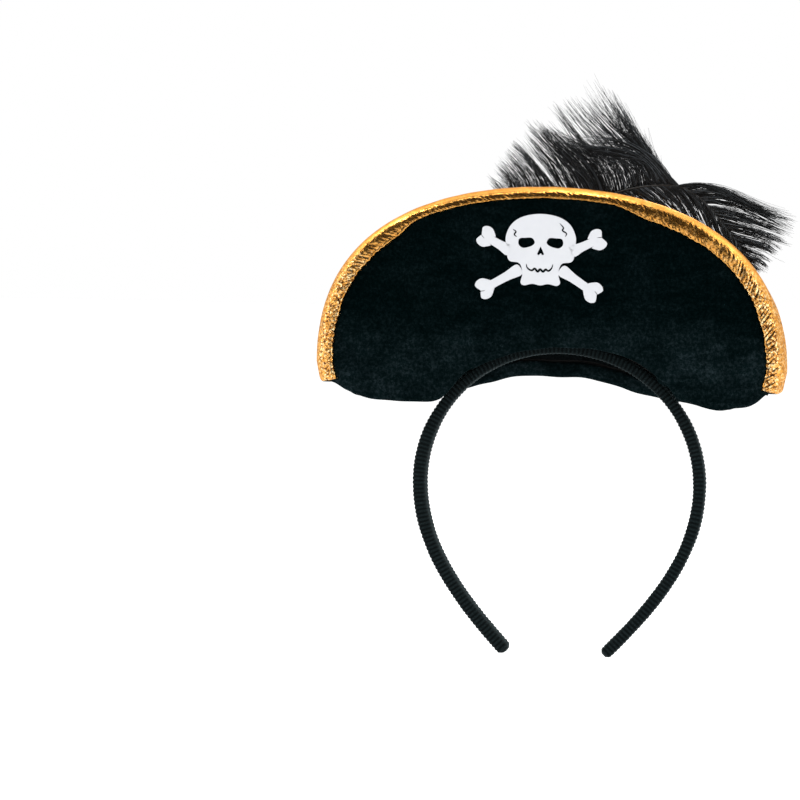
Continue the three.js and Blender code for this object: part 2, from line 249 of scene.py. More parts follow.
# The floor is a wide light table, so it is as pale as the room behind it.
floor_z = cad_box[0][2] / MM - floor_gap
rings = np.array([0.1, 300, 1200, 4000, 12000])
turns = np.linspace(0, 2 * math.pi, 64, endpoint=False)
floor_points = [(r * math.cos(t), r * math.sin(t), floor_z) for r in rings for t in turns]
floor_faces = [f[::-1] for f in grid_faces(len(rings), len(turns), wrap_columns=True)]
floor = new_mesh("floor", floor_points, floor_faces)
floor_finish = Finish("floor_paint", Roughness=0.9, Emission_Strength=0.16)
floor_finish.shader.inputs["Emission Color"].default_value = (1, 1, 1, 1)
floor_finish.tint(floor_finish.noise(0.004, 2), (0.92, 0.92, 0.92), (0.95, 0.95, 0.95))
floor.data.materials.append(floor_finish.material)

# A black card above the lens, with a strip of it along the floor, gives the gold foil something dark to reflect.
# Only reflections show it. Rows are distance, height and how far it reaches to each side, in degrees.
card_shape = [(110, floor_z + 2, 14), (450, floor_z + 2, 12), (900, floor_z + 2, 10), (900, 40, 10)]
card_shape += [(900, 110, 52), (840, 400, 52), (650, 820, 52)]
card_columns, card_turn = 24, 11
card_points = []
for radius, height, reach in card_shape:
    for turn in np.radians(np.linspace(-reach, reach, card_columns) - card_turn):
        card_points.append((radius * math.sin(turn), -radius * math.cos(turn), height))
black_card = new_mesh("black_card", card_points, grid_faces(len(card_shape), card_columns))
card_finish = Finish("card_black", Roughness=0.9, Specular_IOR_Level=0.0)
card_finish.tint(card_finish.noise(0.01, 2), (0.02, 0.02, 0.02), (0.03, 0.03, 0.03))
black_card.data.materials.append(card_finish.material)

# A lit strip over the hat, also seen only in reflections, draws a bright line along the roll of the binding.
# It lies where foil that leans back between the two angles sends the lens's view.
strip_leans, strip_columns, strip_distance = (31, 34.5), 40, 1100
strip_points = []
for lean in np.radians(strip_leans):
    for turn in np.radians(np.linspace(-105, 105, strip_columns)):
        facing = np.array([math.sin(lean) * math.sin(turn), -math.cos(lean), math.sin(lean) * math.cos(turn)])
        strip_points.append(strip_distance * (2 * facing.dot(toward) * facing - toward))
light_strip = new_mesh("light_strip", strip_points, grid_faces(len(strip_leans), strip_columns))
strip_light = Finish("strip_light", Emission_Strength=4.0)
strip_light.shader.inputs["Emission Color"].default_value = (1.0, 0.95, 0.86, 1)
strip_light.tint(strip_light.noise(0.01, 2), (0.8, 0.8, 0.8), (0.9, 0.9, 0.9))
light_strip.data.materials.append(strip_light.material)
for shade in (black_card, light_strip):
    shade.visible_camera = False
    shade.visible_shadow = False
    shade.visible_diffuse = False

# ---- Shared shape of the hat ----
# The curves that the moulded strip and the boards are cut to, in millimetres, in the upright plane.

sleeve_low, sleeve_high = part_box("sleeve_right")
binding_low, binding_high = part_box("front_binding")
sleeve_width = (sleeve_high[1] - sleeve_low[1]) / MM
sleeve_thickness = 5.0
core_width, core_thickness = 6.5, 2.4
hat_middle = (binding_low[0] + binding_high[0]) / 2 / MM
hat_half = (binding_high[0] - binding_low[0]) / 2 / MM
hat_top = binding_high[2] / MM
hat_level = -5.3
flap_thickness = 3.2
edge_height = 1.5
lobe_drop = 16.6
end_drop = 9.0
rear_lower = 4.5
gap_at_ends, gap_bulge, flare = 2.6, 7.4, 0.08


def bend(t, a, b, c, d):
    """Places on a curve that sets off from a toward b and comes in from c to d."""
    return a * (1 - t) ** 3 + 3 * b * t * (1 - t) ** 2 + 3 * c * t**2 * (1 - t) + d * t**3


def bezier(*corners, count=60):
    return bend(np.linspace(0, 1, count)[:, None], *np.array(corners, float))


def glide(t, a, b, c, d):
    """Places on a smooth curve from b to c that has a before it and d after it."""
    return 0.5 * (2 * b + (c - a) * t + (2 * a - 5 * b + 4 * c - d) * t**2 + (3 * b - a - 3 * c + d) * t**3)


def spline(points, count=60):
    """A smooth curve through points, with count steps between each two."""
    p = np.array(points, float)
    p = np.vstack([2 * p[0] - p[1], p, 2 * p[-1] - p[-2]])
    t = np.linspace(0, 1, count, endpoint=False)[:, None]
    return np.vstack([*(glide(t, *four) for four in zip(p, p[1:], p[2:], p[3:])), p[-2:-1]])


class Track:
    """A curve whose places go by length from its start. A mirrored one starts in the middle, minus to the left."""

    def __init__(self, *runs, mirrored=True):
        points = np.vstack([runs[0]] + [run[1:] for run in runs[1:]])
        steps = np.hypot(*np.diff(points, axis=0).T)
        self.points = points
        self.lengths = np.concatenate([[0], np.cumsum(steps)])
        self.half = self.lengths[-1]
        self.mirrored = mirrored

    def at(self, s):
        s = np.asarray(s, float)
        x = np.interp(abs(s), self.lengths, self.points[:, 0])
        z = np.interp(abs(s), self.lengths, self.points[:, 1])
        return np.stack([np.sign(s) * x if self.mirrored else x, z], -1)

    def across(self, u):
        """Places from -1 at the left end to 1 at the right end."""
        return self.at(u * self.half if self.mirrored else (u + 1) / 2 * self.half)

    def normal(self, s, reach=0.6):
        """The unit direction out of the curve."""
        low = -self.half if self.mirrored else 0
        ahead, behind = (self.at(np.clip(np.asarray(s) + step, low, self.half)) for step in (reach, -reach))
        along = ahead - behind
        along /= np.linalg.norm(along, axis=-1, keepdims=True)
        return np.stack([-along[..., 1], along[..., 0]], -1)


band = Track(
    bezier((0, sleeve_thickness / 2), (33.5, sleeve_thickness / 2), (60.3, -23.3), (60.3, -55.3)),
    bezier((60.3, -55.3), (60.3, -82.3), (44.5, -104.3), (21, -128.3)),
)


def crest_track(lower):
    """A flap's crest, under the binding, with a short straight run down each end."""
    end = hat_half - edge_height
    top = hat_top - edge_height - lower
    upright = bezier((0, top), (40, top), (end, hat_level + 62 - lower), (end, hat_level))
    return Track(upright, np.array([(end, hat_level), (end - 1.8, hat_level - end_drop)]))


def ease(value, low, high):
    """0 below low, 1 above high, and a smooth step between."""
    t = np.clip((value - low) / (high - low), 0, 1)
    return t * t * (3 - 2 * t)


def over_band(side, reach, lift_from, lift_to, start=0.0, end=1.0, count=9):
    """Places along one side of the band, off its centreline by one lift before start and another past end."""
    s = np.linspace(0, reach, count)
    lift = lift_from + (lift_to - lift_from) * ease(s, start, end)[:, None]
    return band.at(side * s) + lift * band.normal(side * s)


# The front flap's lower edge follows the band in the middle, higher on the right, and drops to a lobe on each side.
front_crest = crest_track(0)
rear_crest = crest_track(rear_lower)
edge_end = (hat_half - 8, hat_level - end_drop)
arch_left = over_band(-1, 42, 0.4, 3.6, 18, 60, 7) - [hat_middle, 0]
arch_right = over_band(1, 55, 0.4, 4.4, 0, 38) - [hat_middle, 0]
drops_left = [(-87, 12.6), (-79, 15.2), (-66, 16.4), (-53, 16.5), (-47, 15.8), (-43, 13.2)]
drops_right = [(72, lobe_drop), (80, 15.6), (87, 14.2)]
drops_rear = [(0, 5), (14, 5.1), (28, 8.2), (42, 12)]
lobe_left, lobe_right, rear_arch = (
    [(x, hat_level - drop) for x, drop in drops] for drops in (drops_left, drops_right, drops_rear)
)
front_left = [(-edge_end[0], edge_end[1]), *lobe_left, *arch_left[:0:-1]]
front_edge = Track(spline([*front_left, *arch_right, *lobe_right, edge_end]), mirrored=False)
rear_edge = Track(spline([*rear_arch, *lobe_right, edge_end]))


def half_gap(x, z):
    """From the hat's mid plane to the inner face of either flap."""
    across = (x - hat_middle) / hat_half
    return gap_at_ends + gap_bulge * (1 - across**2) + flare * (z - hat_level + lobe_drop)


def wander(x, y, size, seed, waves=9):
    """A smooth random height from -1 to 1 over a surface, with humps about size apart."""
    draw = np.random.default_rng(seed)
    angle = draw.uniform(0, 2 * math.pi, waves)
    stretch = draw.uniform(0.7, 1.5, waves)
    phase = draw.uniform(0, 2 * math.pi, waves)
    total = 0
    for a, k, p in zip(angle, stretch, phase):
        total = total + np.sin((x * math.cos(a) + y * math.sin(a)) * 2 * math.pi * k / size + p)
    return total / waves * 1.6


def apply_modifiers(thing):
    bpy.context.view_layer.update()
    mesh = bpy.data.meshes.new_from_object(thing.evaluated_get(bpy.context.evaluated_depsgraph_get()))
    thing.modifiers.clear()
    thing.data = mesh


def thicken(thing, thickness, offset=-1.0):
    """Gives a sheet its thickness."""
    wall = thing.modifiers.new("thickness", "SOLIDIFY")
    wall.thickness = thickness * MM
    wall.offset = offset
    wall.use_even_offset = False
    apply_modifiers(thing)


def sheet_area(points):
    """A grid of points' area and its greatest width and length, in metres. The points are in millimetres."""
    p = np.asarray(points, float) * MM
    across = np.linalg.norm(np.diff(p, axis=1), axis=2)
    along = np.linalg.norm(np.diff(p, axis=0), axis=2)
    one = np.cross(p[1:, :-1] - p[:-1, :-1], p[:-1, 1:] - p[:-1, :-1])
    two = np.cross(p[:-1, 1:] - p[1:, 1:], p[1:, :-1] - p[1:, 1:])
    area = (np.linalg.norm(one, axis=2).sum() + np.linalg.norm(two, axis=2).sum()) / 2
    return area, across.sum(1).max(), along.sum(0).max()


def fit(piece, finish, slot, *nodes, body="hat"):
    """Gives a piece its material, hides the parts it stands for and sets it on the body it rides on. The slot is not
    used.
    """
    piece.data.materials.append(finish.material)
    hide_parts(*nodes)
    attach(piece, body)


# ---- Head band ----
# A moulded plastic strip, bent to a C, in a knitted black sleeve with a rib across it every 1.8 mm. The sleeve's
# ends are folded over the tips and glued shut.

rib_pitch = 1.78
rib_height = 0.42
steps_per_rib = 6
strip_short = 3.3
tip_round = 3.0


def section_loop(width, thickness, count=24):
    """A flat oval section, as (fore and aft, outwards)."""
    t = np.linspace(0, 2 * math.pi, count, endpoint=False)
    return [size / 2 * np.sign(way) * abs(way) ** 0.5 for size, way in ((width, np.cos(t)), (thickness, np.sin(t)))]


def band_part(name, side, width, thickness, end, ribbed, fullness=0.0):
    """Half of the band's strip or sleeve, from the crown to the tip."""
    s = np.append(np.arange(0, end, rib_pitch / steps_per_rib if ribbed else 3.0), end)
    a, b = section_loop(width, thickness)
    reach = np.hypot(a, b)
    place, normal = band.at(s * side), band.normal(s * side)
    left = (end - s) / tip_round
    close = np.sqrt(np.clip(1 - (1 - np.clip(left, 0, 1)) ** 2.6, 0.0, 1)) if ribbed else np.ones(len(s))
    close = np.maximum(close, 0.12)
    swell, ridge = np.zeros(len(s)), np.ones(len(s))
    if ribbed:
        ridge = (0.5 + 0.5 * np.cos(2 * math.pi * s / rib_pitch)) ** 0.7
        swell = (ridge - 1) * rib_height + fullness * ease(s, 46, 80) + 0.1 * wander(s, s * 0, 19, 5 + side)
    rows = []
    for i in range(len(s)):
        uneven, drift = 0.0, 0.0
        if ribbed:
            uneven = 0.07 * wander(s[i] + 0 * a, 4.0 * np.arctan2(b, a), 2.6, 31)
            drift = 0.12 * wander(s[i] + 0 * a, 0 * a, 34, 11)
        grow = close[i] * (1 + (swell[i] + uneven) / reach)
        x, z = (place[i, k] + normal[i, k] * b * grow for k in (0, 1))
        rows.append(np.stack([x, a * grow + drift, z], 1))
    count = len(a)
    faces = grid_faces(len(s), count, wrap_columns=True)
    faces = [f[::-1] for f in faces] if side > 0 else faces
    first, last = list(range(count)), list(range((len(s) - 1) * count, len(s) * count))
    faces.append(first if side > 0 else first[::-1])
    faces.append(last[::-1] if side > 0 else last)
    piece = new_mesh(name, np.vstack(rows), faces)
    # The ridge profile is stored so that the sleeve can be painted darker in the rib valleys, as painted shade.
    mark(piece, "rib", np.repeat(ridge, count))
    return piece


sleeve_finish = Finish("ribbed_knit", Sheen_Weight=0.14, Sheen_Roughness=0.35, Specular_IOR_Level=0.05)
sleeve_finish.shader.inputs["Sheen Tint"].default_value = (0.55, 0.72, 0.76, 1)
knit = sleeve_finish.noise(2.4, 3)
# The rib valleys are painted darker than the ridges: painted shade between the ribs.
rib = sleeve_finish.marked("rib").between(0.25, 0.95)
sleeve_tone = sleeve_finish.mix(knit.between(0.35, 0.75), (0.003, 0.006, 0.0065), (0.012, 0.0185, 0.02))
sleeve_finish.tint(rib, (0.0018, 0.0034, 0.0037), sleeve_tone)
sleeve_finish.drive("Roughness", 0.78 + 0.2 * knit)
sleeve_finish.bump(sleeve_finish.noise(3.2, 2) * 0.6 + knit * 0.4, 0.2)

strip_finish = Finish("moulded_strip", Roughness=0.45)
strip_finish.tint(strip_finish.noise(0.4), (0.012, 0.012, 0.013), (0.02, 0.02, 0.022))
strip_finish.bump(strip_finish.noise(1.5), 0.02)

for side, word in ((-1, "left"), (1, "right")):
    fullness = 0.5 - 0.16 * side
    sleeve = band_part(f"ribbed_sleeve_{word}", side, sleeve_width, sleeve_thickness, band.half, True, fullness)
    sleeve.data.materials.append(sleeve_finish.material)
    strip = band_part(f"band_strip_{word}", side, core_width, core_thickness, band.half - strip_short, False)
    strip.data.materials.append(strip_finish.material)
    for piece in (sleeve, strip):
        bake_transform(piece)
    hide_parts(f"sleeve_{word}", f"tip_cap_{word}", "sleeve_top")
    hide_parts(f"band_core_{word}", "band_core_top")

# ---- Base and glue ----
# A strip of the same black velvet closes the hat underneath. It lies over the band, held there by two runs of
# hot-melt glue, and its long edges turn up inside the flaps, where they are sewn.

base_lift, base_drop = 1.2, 3.4
base_cloth = 0.7
glue_from, glue_to = 9.0, 39.0

velvet_finish = Finish("crushed_velvet", Sheen_Weight=0.1, Sheen_Roughness=0.25, Specular_IOR_Level=0.0)
velvet_finish.shader.inputs["Sheen Tint"].default_value = (0.55, 0.78, 0.84, 1)
pile = velvet_finish.noise(0.75, 6, roughness=0.7)
crush = velvet_finish.noise(0.05, 3)
streak = velvet_finish.noise(0.22, 4, stretch=(0.45, 1, 1.5))
speck = velvet_finish.noise(2.4, 2)
height = velvet_finish.node("SeparateXYZ", {}, {0: velvet_finish.place()}, output=2)
# The velvet is painted lighter toward the hat's lower edge: painted sheen, as where the cloth rolls under the
# boards. The crush and streak noise is the cloth's own lying pile.
low_edge_sheen = 1 - height.between(hat_level - 4, hat_level + 26)
crush_and_low_sheen = crush.between(0.42, 0.7) * 0.45 + streak.between(0.42, 0.75) * 0.35
crush_and_low_sheen = crush_and_low_sheen * (0.4 + low_edge_sheen * 0.9) + low_edge_sheen * 0.22
tuft = pile.between(0.42, 0.74) * 0.7 + speck.between(0.5, 0.75) * 0.3
deep = velvet_finish.mix(tuft, (0.0002, 0.0016, 0.0017), (0.0016, 0.0052, 0.0056))
pile_and_sheen_tone = velvet_finish.mix(tuft, (0.002, 0.006, 0.0066), (0.024, 0.036, 0.042))
velvet_finish.tint(crush_and_low_sheen, deep, pile_and_sheen_tone)
velvet_finish.drive("Roughness", 0.85 + 0.15 * pile)
velvet_finish.bump(pile * 0.6 + speck * 0.25 + streak * 0.3, 0.4)

base_out = sleeve_thickness / 2 + base_lift
base_route = [*over_band(1, 48, base_out, base_out), (72, hat_level - 11.6), (hat_half - 11, hat_level - 4)]
base_edge = Track(spline(base_route, 30))
base_rows, base_columns = 25, 220
s = np.linspace(-base_edge.half, base_edge.half, base_columns)
place = base_edge.at(s)
x = place[:, 0] + hat_middle * ease(abs(place[:, 0]), 39, 70)
rows = []
for v in np.linspace(-1, 1, base_rows):
    gather = wander(s, 0 * s + v * 4, 15, 61) * 0.3 + wander(s, 0 * s + v * 8, 5, 62) * 0.12
    turned_up = base_drop * ease(abs(v), 0.82, 1.0)
    z = place[:, 1] + 0.45 + (gather + 0.35) * ease(abs(x), 40, 60) + turned_up
    y = v * (half_gap(x, z) - 1.0 - 0.9 * turned_up / base_drop)
    rows.append(np.stack([x, y, z], -1))
base = new_mesh("base_velvet_strip", np.array(rows).reshape(-1, 3), grid_faces(base_rows, base_columns))
thicken(base, base_cloth, 0)
area, width, length = sheet_area(rows)
fit(base, velvet_finish, "velvet", "base_velvet")

glue_finish = Finish("hot_melt", Roughness=0.3, Coat_Weight=0.3)
melt = glue_finish.noise(0.4, 3)
glue_finish.tint(melt, (0.01, 0.01, 0.011), (0.022, 0.021, 0.02))
glue_finish.bump(glue_finish.noise(0.9, 2), 0.12)


def glue_run(name, side):
    """A squeezed run of glue between the sleeve and the base, with a wavy outline."""
    columns, around = 90, 14
    s = np.linspace(glue_from, glue_to, columns)
    place, normal = band.at(side * s), band.normal(side * s)
    ends = np.sqrt(np.clip(np.sin(np.linspace(0.05, math.pi - 0.05, columns)) * 2.5, 0, 1))
    width = (2.2 + 0.6 * wander(s, 0 * s, 8, 71 + side)) * ends
    rows = []
    for turn in np.linspace(0, 2 * math.pi, around, endpoint=False):
        y = width * math.cos(turn)
        out = sleeve_thickness / 2 + 0.55 + 0.28 * math.sin(turn)
        rows.append(np.stack([place[:, 0] + normal[:, 0] * out, y, place[:, 1] + normal[:, 1] * out], -1))
    faces = [f[::-1] for f in grid_faces(around, columns, wrap_rows=True)]
    faces.append([k * columns for k in range(around)])
    faces.append([k * columns + columns - 1 for k in range(around)][::-1])
    return new_mesh(name, np.array(rows).reshape(-1, 3), faces)


for side, word in ((-1, "left"), (1, "right")):
    fit(glue_run(f"glue_run_{word}", side), glue_finish, "glue", f"glue_strip_{word}")

# ---- Velvet flaps ----
# Each flap is black crushed velvet stretched over a black board. The cloth rolls under the board's lower edge and
# turns up inside, where the base is sewn to it. Its upper edge is hidden in the gold binding.

velvet_out = 3.2
cloth = 0.6
roll_drop = 7.0
roll_in_outer = 2.0
roll_in_inner = 1.6
roll_up = 2.5
turn_up = 4.0
flap_columns = 300
crease_x = 62.0
skull_low, skull_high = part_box("skull")
emblem_x = (skull_low[0] + skull_high[0]) / 2 / MM
emblem_z = hat_level + 45.3
short_column = 16
board_out, board_thickness, board_inset = 0.9, 1.0, 5.5
lining_out, lining_thickness, lining_inset, lining_ripple = 0.1, 0.45, 7.4, 0.35

board_finish = Finish("black_board", Roughness=0.85, Specular_IOR_Level=0.1)
board_finish.tint(board_finish.noise(0.5, 4), (0.012, 0.012, 0.012), (0.022, 0.021, 0.02))
board_finish.bump(board_finish.noise(2.0), 0.03)

lining_finish = Finish("lining_cloth", Roughness=0.9, Specular_IOR_Level=0.0)
warp, weft = (lining_finish.noise(1.8, 3, stretch=way) for way in ((1, 1, 0.35), (0.35, 1, 1)))
lining_web = warp * 0.5 + weft * 0.5
lining_finish.tint(lining_web.between(0.4, 0.62), (0.001, 0.0016, 0.0018), (0.005, 0.0065, 0.007))
lining_finish.bump(lining_web, 0.12)


def flap_frame(crest, edge):
    """For each column of a flap, its share across, its top point, the unit direction down it and its length."""
    u = np.linspace(-1, 1, flap_columns)
    top = crest.across(u)
    down = edge.across(u) - top
    length = np.linalg.norm(down, axis=1)
    return u, top, down / length[:, None], length


def flap_point(place, facing, outward):
    """Places on a flap, outward of its inner face."""
    x, z = place[..., 0] + hat_middle, place[..., 1]
    return np.stack([x, facing * (half_gap(x, z) + outward), z], -1)


def emblem_calm(x, z):
    """0 under the emblem, so that the velvet lies flat there, and 1 away from it."""
    return ease(np.hypot((x - emblem_x) / 34, (z - emblem_z) / 24), 0.8, 1.35)


def velvet_flap(name, facing, crest, edge, seed):
    """The velvet over a board: its face, the roll round the lower edge and the part turned up inside."""
    u, top, down, length = flap_frame(crest, edge)
    rows = []
    short = np.minimum(1, length / short_column)
    roll = roll_drop * short
    face = length - roll
    for v in np.linspace(0.0, 1.0, 60):
        from_crest = face * v
        place = top + down * from_crest[:, None]
        x, z = place[:, 0] + hat_middle, place[:, 1]
        swell = 0.5 * wander(x, z, 46, seed) + 0.28 * wander(x, z, 17, seed + 1) + 0.1 * wander(x, z, 6, seed + 2)
        swell = (swell + 0.35 * math.sin(math.pi * min(v * 1.1, 1))) * emblem_calm(x, z)
        gather = 0.22 * np.exp(-from_crest / 7) * wander(u * 150, v * 3 + 0 * u, 4.2, seed + 3)
        crease = 0.3 * np.exp(-(((x - crease_x - 2.4) / 0.9) ** 2)) - 0.5 * np.exp(-(((x - crease_x) / 1.1) ** 2))
        crease = crease * ease(z, -24, -6) * (1 - ease(z, 34, 50)) if facing < 0 else 0
        rows.append(flap_point(place, facing, velvet_out + swell + gather + crease))
    centre = velvet_out - roll_in_outer + swell
    wave = 0.35 * wander(u * 120, 0 * u, 21, seed + 4)
    for turn in np.linspace(0, math.pi / 2, 15)[1:]:
        place = top + down * (face + (roll + wave * short) * math.sin(turn))[:, None]
        rows.append(flap_point(place, facing, centre + roll_in_outer * math.cos(turn)))
    for turn in np.linspace(0, math.pi / 2, 9)[1:]:
        place = top + down * (length + short * (wave - roll_up * (1 - math.cos(turn))))[:, None]
        rows.append(flap_point(place, facing, centre * (1 - turn / 3.2) - roll_in_inner * math.sin(turn)))
    inner = centre * (1 - math.pi / 6.4) - roll_in_inner
    for up in np.linspace(0, 1, 4)[1:]:
        place = top + down * (length + short * (wave - roll_up - turn_up * up))[:, None]
        rows.append(flap_point(place, facing, inner))
    points = np.array(rows)
    faces = grid_faces(len(rows), flap_columns)
    faces = faces if facing > 0 else [f[::-1] for f in faces]
    flap = new_mesh(name, points.reshape(-1, 3), faces)
    thicken(flap, cloth)
    return flap, points


def flat_layer(name, facing, crest, edge, outward, thickness, inset, ripple, seed):
    """A board or lining: a sheet from just under the crest to inset above the lower edge."""
    _, top, down, length = flap_frame(crest, edge)
    rows = []
    for v in np.linspace(0, 1, 26):
        place = top + down * (0.3 + (length - inset * np.minimum(1, length / short_column) - 0.3) * v)[:, None]
        x, z = place[:, 0], place[:, 1]
        lift = -ripple * (0.5 + 0.5 * wander(x, z, 13, seed)) * min(1, v * 6) * min(1, (1 - v) * 8)
        rows.append(flap_point(place, facing, outward + lift))
    points = np.array(rows)
    faces = grid_faces(len(rows), flap_columns)
    faces = faces if facing < 0 else [f[::-1] for f in faces]
    layer = new_mesh(name, points.reshape(-1, 3), faces)
    thicken(layer, thickness)
    return layer, points


flaps = (("front", -1, front_crest, front_edge, 21), ("rear", 1, rear_crest, rear_edge, 41))
for word, *shape, seed in flaps:
    card, _ = flat_layer(f"{word}_board_sheet", *shape, board_out, board_thickness, board_inset, 0, seed)
    fit(card, board_finish, "stiffener", f"{word}_board")
    lining_sizes = lining_out, lining_thickness, lining_inset, lining_ripple
    lining = flat_layer(f"{word}_lining_cloth", *shape, *lining_sizes, seed + 7)
    flap = velvet_flap(f"{word}_velvet_cloth", *shape, seed)
    for (piece, spread), finish, node in ((lining, lining_finish, "lining"), (flap, velvet_finish, "velvet")):
        area, width, length = sheet_area(spread)
        fit(piece, finish, node, f"{word}_{node}")

# ---- Gold binding ----
# A wide strip of foil-faced lame, folded over each flap's crest and sewn through. It is left full, so it stands up
# as a puffy roll that is smooth on the outside of the bend and puckered where the stitches draw it in.

binding_depth = 6.7
binding_top = 1.5
binding_pivot = 2.4
narrow_front = 3.7

lame_finish = Finish("gold_lame", Metallic=1.0)
foil = lame_finish.noise(0.35, 5, roughness=0.65)
speck_noise = lame_finish.noise(1.0, 3)
fleck_noise = lame_finish.noise(0.95, 4, roughness=0.7)
jag = lame_finish.noise(0.6, 2)
crinkle_and_glints = lame_finish.marked("crinkle_and_glints")
tucked = lame_finish.marked("tucked")
# Where the foil is crinkled it is painted with pale and dark brown flecks: painted glints and painted dark
# reflections of the crinkles.
foil_tone = lame_finish.mix(foil.between(0.35, 0.7), (0.58, 0.25, 0.045), (0.74, 0.37, 0.085))
glint_tone = lame_finish.mix(crinkle_and_glints * fleck_noise.between(0.5, 0.6), foil_tone, (0.98, 0.76, 0.4))
lame_finish.tint(crinkle_and_glints * speck_noise.between(0.49, 0.6) * 0.95, glint_tone, (0.1, 0.03, 0.008))
lame_finish.drive("Roughness", 0.5 - 0.34 * tucked + 0.1 * speck_noise)
lame_finish.bump(crinkle_and_glints * (speck_noise * 0.3 + fleck_noise * 0.3) + tucked * jag * 0.55 + foil * 0.1, 0.3)


def binding_profile():
    """The folded lame's section: outside from the front edge over the top to the back edge, then inside back."""
    front = [(-1.85, -binding_depth), (-3.0, -6.1), (-3.38, -5.1), (-3.3, -3.7), (-2.9, -1.7), (-2.05, 0.25)]
    front += [(-1.0, 1.2), (0, binding_top)]
    back = np.array([(1.76, -binding_depth + 0.5), (1.9, -4), (1.95, -1.4), (1.6, 0.1), (0, 0.25)])
    return [np.vstack([half, (half * [-1, 1])[-2::-1]]) for half in (spline(front, 5), back)]


def gold_binding(name, facing, crest, seed):
    """The binding along one crest, full and puckered outside, and narrower in front over the middle."""
    outside, lining_side = binding_profile()
    loop = np.vstack([outside, lining_side])
    columns = 1100
    s = np.linspace(-crest.half, crest.half, columns)
    place, normal = crest.at(s), crest.normal(s)
    end = np.clip((crest.half - abs(s)) / 2.2, 0, 1)
    shut = np.sqrt(np.clip(1 - (1 - end) ** 2, 0.03, 1))
    rows, crinkle_and_glint_rows, tucked_rows = [], [], []
    x = place[:, 0] + hat_middle
    low_down = 1 - ease(place[:, 1] - hat_level, 26, 58)
    narrow = ease(x, -76, -60) * (1 - ease(x, 22, 42)) if facing < 0 else 0 * x
    front_share = 1 - narrow * (1 - narrow_front / binding_depth)
    for k, (a, b) in enumerate(loop):
        out = k < len(outside)
        depth = (binding_top - b) / (binding_top + binding_depth)
        pucker, pulled = 0.0, b
        # The crinkle weight, strongest deep in the roll and low on the hat, sets the bump and where the glints and
        # dark reflections are painted.
        crinkle_and_glint_rows.append((0.15 + 0.85 * low_down) * ease(depth, 0.15, 0.5) + 0.45 * low_down if out else 0 * s)
        tucked_rows.append(ease(depth, 0.1, 0.3) + 0 * s)
        if out:
            free = ease(depth, 0.08, 0.5) * (1 - 0.75 * ease(depth, 0.86, 1.0))
            slant = s + 0.9 * b + 1.5 * wander(s, 0 * s, 40, seed + 9)
            fold = 1 - abs(wander(slant, 0 * s + 0.16 * b, 3.4, seed)) * 1.6
            fine = wander(slant, 0 * s + 0.5 * b, 1.5, seed + 1)
            broad = wander(s, 0 * s + b, 12, seed + 2)
            pucker = free * (0.34 * fold + 0.14 * fine) * (0.4 + 0.6 * low_down)
            pucker = pucker + 0.16 * broad * (1 - abs(depth - 0.5))
            pulled = b + ease(depth, 0.8, 1.0) * 0.35 * wander(s, 0 * s, 2.4, seed + 3)
        rise = b + binding_pivot
        reach = math.hypot(a, rise) + 1e-6
        shift = front_share if a < 0 else 2 - front_share
        shift = np.where(b < 0, 1 + (shift - 1) * min(1, abs(a) / 1.5), 1)
        up = (pulled * shift + rise / reach * (rise > 0) * pucker) * np.where(b > 0, shut, 1)
        x = place[:, 0] + normal[:, 0] * up + hat_middle
        z = place[:, 1] + normal[:, 1] * up
        y = facing * (half_gap(x, z) + flap_thickness / 2) + (a + a / reach * pucker) * (0.45 + 0.55 * shut)
        rows.append(np.stack([x, y, z], 1))
    count = len(loop)
    faces = grid_faces(count, columns, wrap_rows=True)
    # Each end is closed between the outside and the lining side, which has fewer points.
    half = len(outside)
    for start, way in ((0, 1), (columns - 1, -1)):
        for k in range(half - 1):
            near, far = (half + round((half - 1 - j) * (count - half - 1) / (half - 1)) for j in (k, k + 1))
            corners = [k, k + 1, far] if near == far else [k, k + 1, far, near]
            faces.append([corner * columns + start for corner in corners][::way])
    thing = new_mesh(name, np.array(rows).reshape(-1, 3), faces)
    # Carries the crinkle weight, which also places the painted glints and painted dark reflections.
    mark(thing, "crinkle_and_glints", np.clip(crinkle_and_glint_rows, 0, 1))
    mark(thing, "tucked", tucked_rows)
    return thing


for word, facing, crest, _, seed in flaps:
    trim = gold_binding(f"{word}_gold_binding", facing, crest, seed + 60)
    fit(trim, lame_finish, "gold_lame", f"{word}_binding")

# ---- End seams ----
# At each end the two flaps are drawn together by a short gathered tab of the lining cloth, sewn inside the bindings.

tab_low, tab_high, tab_inset, tab_cloth = hat_level - 2.0, hat_level + 5.0, 7.0, 0.6
tab_centre = (tab_low + tab_high) / 2
tab_rows, tab_columns = 34, 16
for side, word in ((-1, "left"), (1, "right")):
    middle = side * (hat_half - tab_inset) + hat_middle
    rows = []
    for v in np.linspace(-1, 1, tab_rows):
        height = np.linspace(tab_low, tab_high, tab_columns)
        gather = 0.7 * math.cos(v * math.pi * 5) + 0.25 * wander(height, 0 * height + v * 9, 7, 81)
        reach = half_gap(middle, height) - 1.2
        z = tab_centre + (height - tab_centre) * (1 - 0.16 * math.cos(v * math.pi / 2))
        rows.append(np.stack([middle + side * (0.7 - 0.7 * v * v) + gather, v * reach, z], -1))
    tab = new_mesh(f"end_tab_{word}", np.array(rows).reshape(-1, 3), grid_faces(tab_rows, tab_columns))
    thicken(tab, tab_cloth, 0)
    area, _, length = sheet_area(rows)
    fit(tab, lining_finish, "lining", f"end_seam_{word}")

# ---- Emblem ----
# A plain skull over crossed bones, in five pieces die-cut from matt white vinyl about 0.8 mm thick and glued to the
# front velvet. The velvet shows through the cut eyes, nose, grin and cracks.

vinyl_lift = 0.3
vinyl = 0.8
fill_step = 1.6

